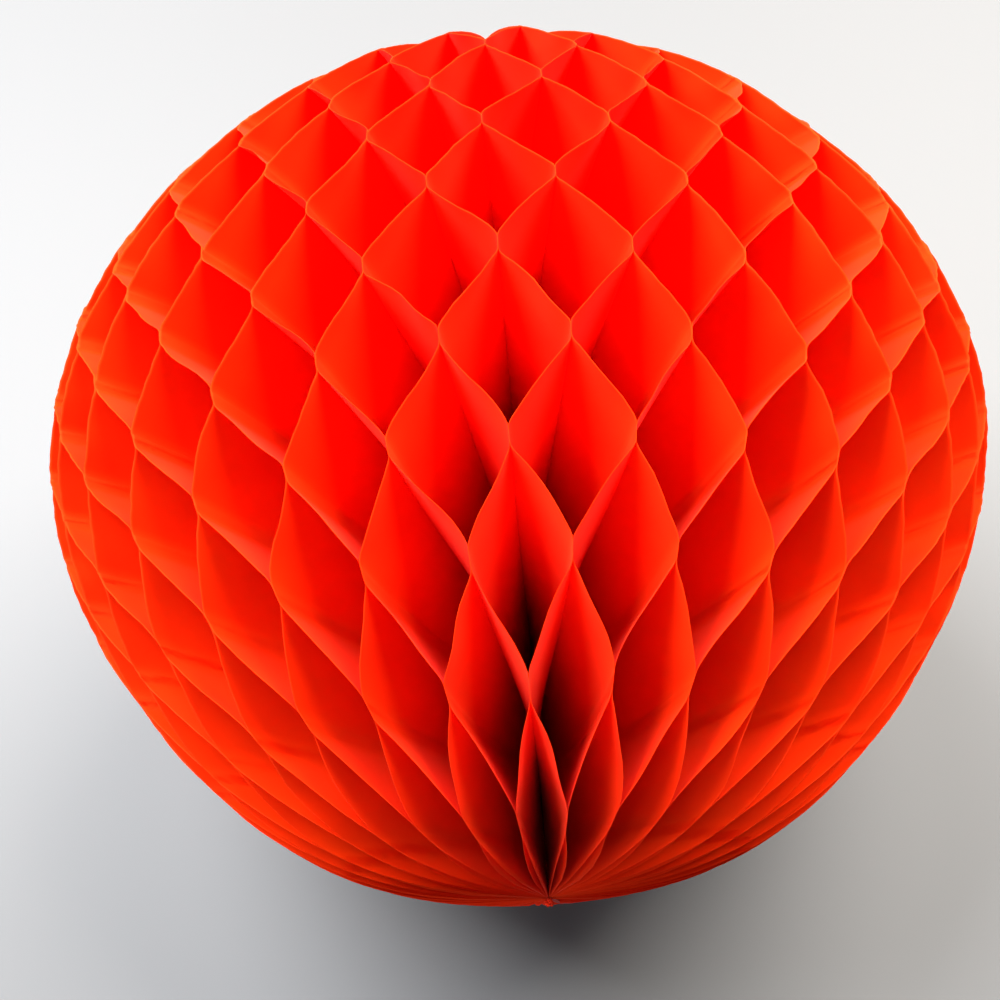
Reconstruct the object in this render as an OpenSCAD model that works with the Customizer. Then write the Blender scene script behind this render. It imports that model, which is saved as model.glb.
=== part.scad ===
// Honeycomb tissue ball lantern, lying on its side with its spine level.
// Sixty tissue leaves, glued in pairs, stand round a thread spine. They open as a fan from one
// card cover to the other, and tape strips hold the two covers back to back at the seam.
// Millimetres. The spine runs along Y, +Z is up, and the ball rests on the plane Z = 0.

/* [Ball] */
// Radius of the open ball across its spine
ball_r = 125; // [80:1:160]
// Roundness of a leaf's free edge, where 2 is a true half circle
edge_fullness = 1.96; // [1.8:0.02:2.2]
// Share by which the opened cells draw the rim in along the spine
draw_in = 0.57; // [0.3:0.01:0.6]
// Share of the radius by which the spine is shortened at the poles
pole_dip = 0.074; // [0.04:0.001:0.15]
// Share of the radius over which that shortening fades away
dip_width = 0.43; // [0.2:0.01:0.5]

/* [Leaves] */
// Thickness of one tissue leaf with its fluff
leaf_t = 0.1; // [0.05:0.01:0.15]
// Thickness of the glue between the two leaves of a pair
glue_t = 0.02; // [0.01:0.01:0.05]
// Free space between neighbouring pairs when the fan is shut
shut_gap = 0.06; // [0.04:0.01:0.1]
// Angle of the seam from straight down
seam_angle = 12; // [12:24:60]

/* [Covers] */
// Thickness of a card cover
card_t = 0.6; // [0.4:0.1:1]
// Space between the two covers at the seam
seam_gap = 0.3; // [0.24:0.02:0.5]
// Distance from the spine's centre line to a cover's straight edge
card_inset = 3; // [2.5:0.5:5]
// Radius of the hanging tab's round end
tab_r = 6; // [5:0.5:9]
// Radius of the hole punched in the tab
hole_r = 2; // [1:0.25:3]
// Distance from the leaves' pole end to the centre of the hole
hole_stand = 3; // [2:0.5:6]

/* [Spine and tape] */
// Radius of the spine thread
thread_r = 0.8; // [0.4:0.1:1]
// Radius of the knot at each pole
knot_r = 1.2; // [1:0.1:2]
// Number of tape strips
tape_count = 3; // [2:1:4]
// Width of a strip, measured out from the spine
tape_w = 12; // [8:1:20]
// Length of a strip, measured along the spine
tape_len = 24; // [12:1:30]
// Thickness of a strip
tape_t = 0.2; // [0.1:0.02:0.22]
// Distance from a strip's middle to the rim
tape_margin = 22; // [18:1:40]
// Spacing of the strips along the spine
tape_pitch = 48; // [35:1:50]

/* [Hidden] */
pair_count = 30;
function pair_name(i) = str("leaf_pair_", i < 10 ? "0" : "", i);

touch = 0.01;
edge_step = 5;
corner_space = 1;
pair_angle = 360 / pair_count;
pair_t = 2 * leaf_t + glue_t;
pair_pitch = pair_t + shut_gap;
// Neighbouring pairs hinge half a pitch from each pair's middle plane, and start just outside that line
pair_hinge_r = pair_pitch / 2 / sin(pair_angle / 2);
pair_inset = pair_hinge_r + 0.06;
// The first and last pairs stand clear of a cover, so their hinge and their inner edge lie further out
card_back = seam_gap / 2 + card_t;
cover_stand = card_back + shut_gap + pair_t / 2;
cover_hinge_r = cover_stand / 2 / sin(pair_angle / 4);
end_pair_inset = cover_hinge_r + 0.1;

// A leaf's free edge, as shares of the radius: rim_share gives the far coordinate for either one
function rim_share(a) = pow(1 - pow(abs(a), edge_fullness), 1 / edge_fullness);
function along_share(x) = sqrt(1 - pow(draw_in * x, 2)) - pole_dip * exp(-pow(x / dip_width, 2));
function half_len(r) = ball_r * rim_share(r / ball_r) * along_share(r / ball_r);
function edge_point(u) = let (r = ball_r * rim_share(sin(u))) [r, sign(u) * half_len(r)];

spine_half = half_len(pair_inset);
flat_r = edge_point(edge_step / 2)[0];
tab_x = card_inset + tab_r;
hole_y = half_len(tab_x) + hole_stand;
knot_y = spine_half + knot_r;
front_y = knot_y + knot_r;
back_y = hole_y + tab_r;
centre_y = (front_y - back_y) / 2;
centre_z = flat_r * cos(pair_angle / 2) + pair_t / 2 * sin(pair_angle / 2);
tissue_red = "orangered";
card_red = "firebrick";

// Turns a flat shape's +X to point out from the spine at an angle from straight down
module stand(angle) translate([0, centre_y, centre_z]) rotate([0, 90 - angle, 0]) children();

// Outline of a half-round leaf, with its straight edge a given distance from the spine
module leaf_outline(inset) {
    u_end = 90 - edge_step / 2;
    free_edge = [for (u = [-u_end:edge_step:u_end]) edge_point(u)];
    corner = [inset, half_len(inset)];
    polygon(concat(
        [[corner[0], -corner[1]]],
        [for (p = free_edge) if (p[0] > inset + corner_space) p],
        [corner]
    ));
}

module leaf(inset) linear_extrude(leaf_t) leaf_outline(inset);

// Two leaves glued face to face along their rows
module leaf_pair(i) {
    inset = i == 1 || i == pair_count ? end_pair_inset : pair_inset;
    color(tissue_red) stand(seam_angle - (i - 0.5) * pair_angle) {
        translate([0, 0, glue_t / 2]) leaf(inset);
        translate([0, 0, -glue_t / 2 - leaf_t]) leaf(inset);
    }
}

// Half-round card with a hanging tab past the back pole
module card() {
    difference() {
        linear_extrude(card_t) union() {
            leaf_outline(card_inset);
            translate([tab_x, hole_y]) circle(r = tab_r, $fn = 64);
            translate([card_inset, hole_y - 2 * tab_r]) square([2 * tab_r, 2 * tab_r]);
        }
        translate([tab_x, hole_y, -1]) cylinder(r = hole_r, h = card_t + 2, $fn = 64);
    }
}

module left_cover() color(card_red) stand(seam_angle) translate([0, 0, -card_back]) card();

module right_cover() color(card_red) stand(seam_angle) translate([0, 0, seam_gap / 2]) card();

// Thread along the spine, knotted at both poles
module spine_thread() {
    color("crimson") translate([0, centre_y, centre_z]) rotate([90, 0, 0]) union() {
        translate([0, 0, -knot_y]) cylinder(r = thread_r, h = 2 * knot_y, $fn = 32);
        for (s = [-1, 1]) translate([0, 0, s * knot_y]) sphere(r = knot_r, $fn = 32);
    }
}

// Double-sided strips on the left cover, which the right cover is pressed on to
module closing_tape() {
    first = -tape_pitch * (tape_count - 1) / 2;
    color("white") stand(seam_angle) {
        for (k = [0:tape_count - 1]) let (y = first + k * tape_pitch, x = rim_at(y) - tape_margin)
            translate([x - tape_w / 2, y - tape_len / 2, touch - seam_gap / 2])
                cube([tape_w, tape_len, tape_t]);
    }
}

// Distance from the spine to the rim, at a place along the spine
function rim_at(y) = ball_r * rim_share(y / (ball_r * along_share(1)));

left_cover();
right_cover();
spine_thread();
closing_tape();
for (i = [1:pair_count]) leaf_pair(i);
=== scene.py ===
# Honeycomb tissue ball, lying on its side on a pale floor with its spine level.
# Sixty half-round tissue leaves fan out from a thread spine between two card covers.
import math
import random

import bpy
import numpy as np
from mathutils import Matrix, Vector


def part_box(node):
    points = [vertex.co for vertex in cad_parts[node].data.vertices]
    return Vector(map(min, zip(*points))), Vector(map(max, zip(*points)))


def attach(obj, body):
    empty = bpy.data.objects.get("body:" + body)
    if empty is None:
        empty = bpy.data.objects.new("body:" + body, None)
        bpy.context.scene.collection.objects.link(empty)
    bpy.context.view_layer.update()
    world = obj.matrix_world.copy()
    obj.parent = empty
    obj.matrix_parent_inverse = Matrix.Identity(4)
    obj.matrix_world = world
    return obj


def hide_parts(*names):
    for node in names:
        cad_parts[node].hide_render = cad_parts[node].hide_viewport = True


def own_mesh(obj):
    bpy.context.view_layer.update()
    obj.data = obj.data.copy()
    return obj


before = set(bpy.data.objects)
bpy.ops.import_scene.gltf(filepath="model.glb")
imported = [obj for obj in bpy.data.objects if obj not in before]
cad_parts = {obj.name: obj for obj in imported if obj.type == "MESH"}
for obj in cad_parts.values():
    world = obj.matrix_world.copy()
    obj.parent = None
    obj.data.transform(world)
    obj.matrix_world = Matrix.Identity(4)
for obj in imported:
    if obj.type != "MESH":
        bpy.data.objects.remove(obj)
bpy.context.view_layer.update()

# ---------------------------------------------------------------------------
# Tissue leaves: half-round sheets of red tissue paper, die-cut in a stack.
# Each is glued to the next along narrow rows that alternate from side to side, so the opened
# stack pulls into cells. Here every leaf zigzags between the planes where it is glued.
thread_low, thread_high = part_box("spine_thread")
centre = (thread_low + thread_high) / 2
ball_r = 0.125
leaf_count = 60
pair_step = math.radians(12)
seam_angle = math.radians(12)
edge_fullness = 1.96
draw_in = 0.57
pole_dip = 0.074
dip_width = 0.43
row_pitch = 0.163
first_glue_row = -0.2579
glue_band = 0.019
leaf_inset = 0.0014
end_leaf_inset = 0.0089
tissue_t = 0.00006
clear_of_middle = 0.00005
card_back = 0.00075
floor_clear = 0.0002
radial_steps = 24
wall_places = (0.05, 0.11, 0.19, 0.3, 0.42, 0.54, 0.66, 0.77, 0.86, 0.92, 0.96)
bend_share = 0.1

chance = random.Random(7)


def seam_frame(turn):
    """Outward and sideways directions of a plane through the spine, turned on from the seam."""
    a = seam_angle - turn
    return Vector((math.sin(a), 0, -math.cos(a))), Vector((-math.cos(a), 0, -math.sin(a)))


def rim_share(a):
    return np.clip(1 - np.abs(a) ** edge_fullness, 0, 1) ** (1 / edge_fullness)


def along_share(x):
    return np.sqrt(1 - (draw_in * x) ** 2) - pole_dip * np.exp(-((x / dip_width) ** 2))


# Every glue spot strays a little from its even place, and the leaves that share it stray with it
row_numbers = range(-9, 12)
stray_turn = {}
stray_along = {}
for plane in range(leaf_count + 1):
    for row in row_numbers:
        stray_turn[plane, row] = math.radians(chance.gauss(0, 0.22))
        stray_along[plane, row] = chance.gauss(0, 0.006)


def leaf_heights():
    """Places along the spine, as shares of the radius, closest together beside the glue bands."""
    out = []
    gap = row_pitch - glue_band
    for row in range(-6, 9):
        start = first_glue_row + row * row_pitch - glue_band / 2
        out += [start, start + glue_band / 2, start + glue_band]
        out += [start + glue_band + gap * place for place in wall_places]
    tip = 0.99995
    return np.array([-tip] + [h for h in out if abs(h) < 0.9995] + [tip])


def zigzag(h):
    """The glue row below a height, and how far across the wall above that row the height lies."""
    row = math.floor((h - first_glue_row) / row_pitch)
    half_band = glue_band / 2 / row_pitch
    share = ((h - first_glue_row) / row_pitch - row - half_band) / (1 - 2 * half_band)
    share = min(1, max(0, share))
    near = min(share, 1 - share)
    # The wall is straight but for a short bend beside each glue band
    if near < bend_share:
        near = near * near / (2 * bend_share * (1 - bend_share))
    else:
        near = (near - bend_share / 2) / (1 - bend_share)
    return row, near if share < 0.5 else 1 - near, share


def tissue_leaf(number):
    """Points of leaf 1 to 60, counted round from the left cover."""
    own = number - 1
    inset = end_leaf_inset if number in (1, 2, leaf_count - 1, leaf_count) else leaf_inset
    middle = (own // 2 + 0.5) * pair_step
    low, high = sorted((middle, middle + (1 if own % 2 else -1) * pair_step / 2))
    belly = {row: chance.gauss(0, 0.0005) for row in row_numbers}
    curl = {row: chance.gauss(0, 0.0004) for row in row_numbers}
    nick = {row: chance.uniform(0.25, 0.75) for row in row_numbers}
    outward = np.linspace(0, 1, radial_steps + 1)
    outward = 1 - (1 - outward) ** 1.6
    points = []
    heights = leaf_heights()
    for h in heights:
        row, across, share = zigzag(h)
        sides = []
        for r in (row, row + 1):
            # Even rows glue the two leaves of a pair, odd rows glue neighbouring pairs
            plane = own + (own + 1) % 2 if r % 2 == 0 else own + own % 2
            sides.append((plane * pair_step / 2 + stray_turn[plane, r], stray_along[plane, r]))
        turn = sides[0][0] * (1 - across) + sides[1][0] * across
        shift = sides[0][1] * (1 - across) + sides[1][1] * across
        rim = max(ball_r * float(rim_share(h)), inset + 0.0004)
        x = inset + (rim - inset) * outward
        bulge = belly[row] * math.sin(math.pi * share) * x / ball_r
        lip = np.clip((outward - 0.86) / 0.14, 0, 1) ** 2
        bulge += curl[row] * math.sin(2 * math.pi * share + nick[row]) * math.sin(math.pi * share) * lip
        trim = 0.0002 * math.sin(h * 31 + own * 2.4) + 0.0001 * math.sin(h * 173 + own)
        t = turn + bulge / x
        edge = clear_of_middle / x
        t = np.clip(t, low + edge - 0.02, high - edge + 0.02)
        y = ball_r * (h + shift * (1 - abs(h))) * along_share(x / ball_r)
        a = seam_angle - t
        x = x + trim * lip * (1 - h * h)
        points.append(np.stack([centre.x + x * np.sin(a), centre.y + y, centre.z - x * np.cos(a)], 1))
    return np.concatenate(points), heights, outward


def keep_clear(points, number):
    """Keeps the first and last leaf off the covers, and flattens the lowest leaves on the floor."""
    out, side = seam_frame(0)
    beyond = (points - np.array(centre)) @ np.array(side)
    if number == 1:
        points = points + np.outer(np.maximum(card_back + 0.00006 - beyond, 0), np.array(side))
    if number == leaf_count:
        points = points - np.outer(np.maximum(card_back + 0.00006 + beyond, 0), np.array(side))
    points[:, 2] = np.maximum(points[:, 2], floor_clear)
    return points


def tissue_paper():
    m = bpy.data.materials.new("red tissue paper")
    m.use_nodes = True
    n, l = m.node_tree.nodes, m.node_tree.links
    shader = n["Principled BSDF"]
    shader.inputs["Roughness"].default_value = 0.7
    shader.inputs["Specular IOR Level"].default_value = 0.04
    shader.inputs["Sheen Weight"].default_value = 0.03
    shader.inputs["Sheen Roughness"].default_value = 0.45
    shader.inputs["Sheen Tint"].default_value = (1, 0.75, 0.78, 1)
    where = n.new("ShaderNodeTexCoord")
    fibres = n.new("ShaderNodeTexNoise")
    fibres.inputs["Scale"].default_value = 1100
    fibres.inputs["Detail"].default_value = 5
    clouds = n.new("ShaderNodeTexNoise")
    clouds.inputs["Scale"].default_value = 45
    tint = n.new("ShaderNodeValToRGB")
    tint.color_ramp.elements[0].position = 0.3
    tint.color_ramp.elements[0].color = (0.87, 0.026, 0.0005, 1)
    tint.color_ramp.elements[1].position = 0.7
    tint.color_ramp.elements[1].color = (0.92, 0.038, 0.001, 1)
    l.new(where.outputs["Object"], fibres.inputs["Vector"])
    l.new(where.outputs["Object"], clouds.inputs["Vector"])
    l.new(clouds.outputs["Fac"], tint.inputs["Fac"])
    # The cut edge is fluffier and paler than the sheet
    apart = n.new("ShaderNodeSeparateXYZ")
    l.new(where.outputs["UV"], apart.inputs["Vector"])
    edge = n.new("ShaderNodeMapRange")
    edge.inputs["From Min"].default_value = 0.0005
    edge.inputs["From Max"].default_value = 0.0001
    l.new(apart.outputs["X"], edge.inputs["Value"])
    fluff = n.new("ShaderNodeMix")
    fluff.data_type = "RGBA"
    fluff.inputs["B"].default_value = (0.95, 0.046, 0.003, 1)
    l.new(edge.outputs["Result"], fluff.inputs["Factor"])
    l.new(tint.outputs["Color"], fluff.inputs["A"])
    l.new(fluff.outputs["Result"], shader.inputs["Base Color"])
    bump = n.new("ShaderNodeBump")
    bump.inputs["Strength"].default_value = 0.2
    bump.inputs["Distance"].default_value = 0.0002
    l.new(fibres.outputs["Fac"], bump.inputs["Height"])
    l.new(bump.outputs["Normal"], shader.inputs["Normal"])
    glow = n.new("ShaderNodeBsdfTranslucent")
    l.new(fluff.outputs["Result"], glow.inputs["Color"])
    mix = n.new("ShaderNodeMixShader")
    mix.inputs["Fac"].default_value = 0.42
    l.new(shader.outputs["BSDF"], mix.inputs[1])
    l.new(glow.outputs["BSDF"], mix.inputs[2])
    l.new(mix.outputs["Shader"], n["Material Output"].inputs["Surface"])
    return m


tissue = tissue_paper()
for number in range(1, leaf_count + 1):
    points, heights, outward = tissue_leaf(number)
    points = keep_clear(points, number)
    rows, columns = len(heights), len(outward)
    faces = [
        (r * columns + c, r * columns + c + 1, (r + 1) * columns + c + 1, (r + 1) * columns + c)
        for r in range(rows - 1)
        for c in range(columns - 1)
    ]
    mesh = bpy.data.meshes.new(f"tissue_leaf_{number:02d}")
    mesh.from_pydata(points.tolist(), [], faces)
    mesh.materials.append(tissue)
    mesh.shade_smooth()
    # U is the distance in from the free edge in metres, and V the place along the spine
    reach = ball_r * rim_share(heights)
    flat = np.stack([np.outer(reach, 1 - outward).ravel(), np.repeat(heights * ball_r, columns)], 1)
    corner = np.empty(len(mesh.loops), dtype=np.int32)
    mesh.loops.foreach_get("vertex_index", corner)
    mesh.uv_layers.new(name="flat sheet").data.foreach_set("uv", flat[corner].ravel())
    leaf = bpy.data.objects.new(mesh.name, mesh)
    bpy.context.scene.collection.objects.link(leaf)
    thick = leaf.modifiers.new("paper thickness", "SOLIDIFY")
    thick.thickness = tissue_t
    thick.offset = 0
    pair = (number + 1) // 2
    node = f"leaf_pair_{pair:02d}"
    out, side = seam_frame((pair - 0.5) * pair_step)
    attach(leaf, node)
    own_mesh(leaf)
    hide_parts(node)

# ---------------------------------------------------------------------------
# Covers: two half-round cards of dyed red board, one at each end of the fan, die-cut with a round
# tab past the far pole. A hanging hole is punched through both tabs, and the cut edges are softer
# than the pressed faces.
def red_board():
    m = bpy.data.materials.new("red cover board")
    m.use_nodes = True
    n, l = m.node_tree.nodes, m.node_tree.links
    shader = n["Principled BSDF"]
    shader.inputs["Roughness"].default_value = 0.5
    shader.inputs["Specular IOR Level"].default_value = 0.15
    where = n.new("ShaderNodeTexCoord")
    pulp = n.new("ShaderNodeTexNoise")
    pulp.inputs["Scale"].default_value = 600
    pulp.inputs["Detail"].default_value = 6
    tint = n.new("ShaderNodeValToRGB")
    tint.color_ramp.elements[0].position = 0.35
    tint.color_ramp.elements[0].color = (0.36, 0.006, 0.002, 1)
    tint.color_ramp.elements[1].position = 0.75
    tint.color_ramp.elements[1].color = (0.5, 0.013, 0.004, 1)
    press = n.new("ShaderNodeBump")
    press.inputs["Strength"].default_value = 0.25
    press.inputs["Distance"].default_value = 0.0002
    l.new(where.outputs["Object"], pulp.inputs["Vector"])
    l.new(pulp.outputs["Fac"], tint.inputs["Fac"])
    l.new(pulp.outputs["Fac"], press.inputs["Height"])
    l.new(press.outputs["Normal"], shader.inputs["Normal"])
    l.new(tint.outputs["Color"], shader.inputs["Base Color"])
    return m


board = red_board()
for node in ("left_cover", "right_cover"):
    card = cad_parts[node]
    card.data.materials.clear()
    card.data.materials.append(board)
    soften = card.modifiers.new("softened cut edge", "BEVEL")
    soften.width = 0.0001
    soften.segments = 2
    soften.limit_method = "ANGLE"
    soften.angle_limit = math.radians(50)

# ---------------------------------------------------------------------------
# Spine thread: three plies of red cotton twisted together, run along the stack's straight edge
# and knotted at both poles, which holds the leaves' inner edges in a line.
thread_r = 0.0008
ply_r = 0.00036
knot_r = 0.0012
twist_pitch = 0.0042
steps_per_turn = 10


def red_cotton():
    m = bpy.data.materials.new("red cotton thread")
    m.use_nodes = True
    n, l = m.node_tree.nodes, m.node_tree.links
    shader = n["Principled BSDF"]
    shader.inputs["Roughness"].default_value = 0.85
    shader.inputs["Specular IOR Level"].default_value = 0.1
    shader.inputs["Sheen Weight"].default_value = 0.03
    where = n.new("ShaderNodeTexCoord")
    lint = n.new("ShaderNodeTexNoise")
    lint.inputs["Scale"].default_value = 4000
    tint = n.new("ShaderNodeValToRGB")
    tint.color_ramp.elements[0].color = (0.42, 0.008, 0.001, 1)
    tint.color_ramp.elements[1].color = (0.7, 0.022, 0.002, 1)
    l.new(where.outputs["Object"], lint.inputs["Vector"])
    l.new(lint.outputs["Fac"], tint.inputs["Fac"])
    l.new(tint.outputs["Color"], shader.inputs["Base Color"])
    return m


def ply(curve, places, closed=False):
    spline = curve.splines.new("POLY")
    spline.points.add(len(places) - 1)
    for point, place in zip(spline.points, places):
        point.co = (*place, 1)
    spline.use_cyclic_u = closed


thread_curve = bpy.data.curves.new("spine_thread_plies", "CURVE")
thread_curve.dimensions = "3D"
thread_curve.bevel_depth = ply_r
thread_curve.bevel_resolution = 2
thread_start = thread_low.y + knot_r
thread_span = thread_high.y - thread_low.y - 2 * knot_r
turn_steps = round(thread_span / twist_pitch * steps_per_turn)
for start in (0, 2 * math.pi / 3, 4 * math.pi / 3):
    places = []
    for k in range(turn_steps + 1):
        a = start + 2 * math.pi * k / steps_per_turn
        off = thread_r - ply_r
        along = thread_start + thread_span * k / turn_steps
        places.append((centre.x + off * math.cos(a), along, centre.z + off * math.sin(a)))
    ply(thread_curve, places)
for pole_y in (thread_start, thread_start + thread_span):
    # An overhand knot, pulled tight
    size = (knot_r - ply_r) / 3
    places = []
    for k in range(48):
        a = 2 * math.pi * k / 48
        ring = (math.sin(a) + 2 * math.sin(2 * a), math.cos(a) - 2 * math.cos(2 * a))
        rise = -math.sin(3 * a) * 2
        places.append((centre.x + size * ring[0], pole_y + size * rise, centre.z + size * ring[1]))
    ply(thread_curve, places, closed=True)
thread_curve.materials.append(red_cotton())
thread = bpy.data.objects.new("spine_thread_plies", thread_curve)
bpy.context.scene.collection.objects.link(thread)
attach(thread, "leaf_pair_15")
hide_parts("spine_thread")

# ---------------------------------------------------------------------------
# Closing tape: strips of double-sided film tape on the left cover's face. The open ball's right
# cover is pressed on to them, so they only show when the fan is let go.
def film_tape():
    m = bpy.data.materials.new("double-sided film tape")
    m.use_nodes = True
    n, l = m.node_tree.nodes, m.node_tree.links
    shader = n["Principled BSDF"]
    shader.inputs["Roughness"].default_value = 0.22
    shader.inputs["Coat Weight"].default_value = 0.3
    where = n.new("ShaderNodeTexCoord")
    smear = n.new("ShaderNodeTexNoise")
    smear.inputs["Scale"].default_value = 260
    smear.inputs["Detail"].default_value = 3
    tint = n.new("ShaderNodeValToRGB")
    tint.color_ramp.elements[0].color = (0.74, 0.70, 0.62, 1)
    tint.color_ramp.elements[1].color = (0.86, 0.84, 0.79, 1)
    blister = n.new("ShaderNodeBump")
    blister.inputs["Strength"].default_value = 0.3
    blister.inputs["Distance"].default_value = 0.0003
    l.new(where.outputs["Object"], smear.inputs["Vector"])
    l.new(smear.outputs["Fac"], tint.inputs["Fac"])
    l.new(smear.outputs["Fac"], blister.inputs["Height"])
    l.new(blister.outputs["Normal"], shader.inputs["Normal"])
    l.new(tint.outputs["Color"], shader.inputs["Base Color"])
    return m


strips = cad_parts["closing_tape"]
strips.data.materials.clear()
strips.data.materials.append(film_tape())
rounded = strips.modifiers.new("rounded film edge", "BEVEL")
rounded.width = 0.00006
rounded.segments = 2

# ---------------------------------------------------------------------------
# Floor, lamps and camera: a pale matt floor, one broad soft lamp overhead and a weaker one in
# front, with the camera looking steeply down on the plain pole's side.
bpy.ops.mesh.primitive_plane_add(size=6, location=(0, 0, 0))
floor = bpy.context.object
floor.name = "floor"
pale = bpy.data.materials.new("pale floor")
pale.use_nodes = True
pale.node_tree.nodes["Principled BSDF"].inputs["Base Color"].default_value = (0.095, 0.095, 0.095, 1)
pale.node_tree.nodes["Principled BSDF"].inputs["Roughness"].default_value = 0.6
floor.data.materials.append(pale)


def soft_lamp(name, place, size, power, colour):
    lamp = bpy.data.objects.new(name, bpy.data.lights.new(name, "AREA"))
    lamp.data.size = size
    lamp.data.energy = power
    lamp.data.color = colour
    lamp.location = place
    lamp.rotation_euler = (centre - Vector(place)).to_track_quat("-Z", "Y").to_euler()
    bpy.context.scene.collection.objects.link(lamp)


soft_lamp("left overhead lamp", (-0.75, 0.62, 1.5), 1.1, 138, (0.95, 0.97, 1))
soft_lamp("right overhead lamp", (0.75, 0.68, 1.5), 1.1, 118, (1, 0.96, 0.9))
soft_lamp("front lamp", (-1.2, -0.7, 0.45), 1, 8, (0.8, 0.9, 1))

world = bpy.data.worlds.new("studio")
bpy.context.scene.world = world
world.use_nodes = True
world.node_tree.nodes["Background"].inputs["Color"].default_value = (0.9, 0.92, 1, 1)
world.node_tree.nodes["Background"].inputs["Strength"].default_value = 0.25
bpy.context.scene.view_settings.view_transform = "Standard"

camera = bpy.data.objects.new("camera", bpy.data.cameras.new("camera"))
bpy.context.scene.collection.objects.link(camera)
camera.data.sensor_width = 36
camera.data.lens = 48.26
camera.location = centre + Vector((0.00275, -0.1624, 0.3407))
camera_aim = centre + Vector((-0.00565, -0.00637, -0.00275))
camera_roll = Matrix.Rotation(math.radians(-7.11), 3, "Z").to_quaternion()
look = (camera_aim - camera.location).to_track_quat("-Z", "Y")
camera.rotation_euler = (look @ camera_roll).to_euler()
bpy.context.scene.camera = camera
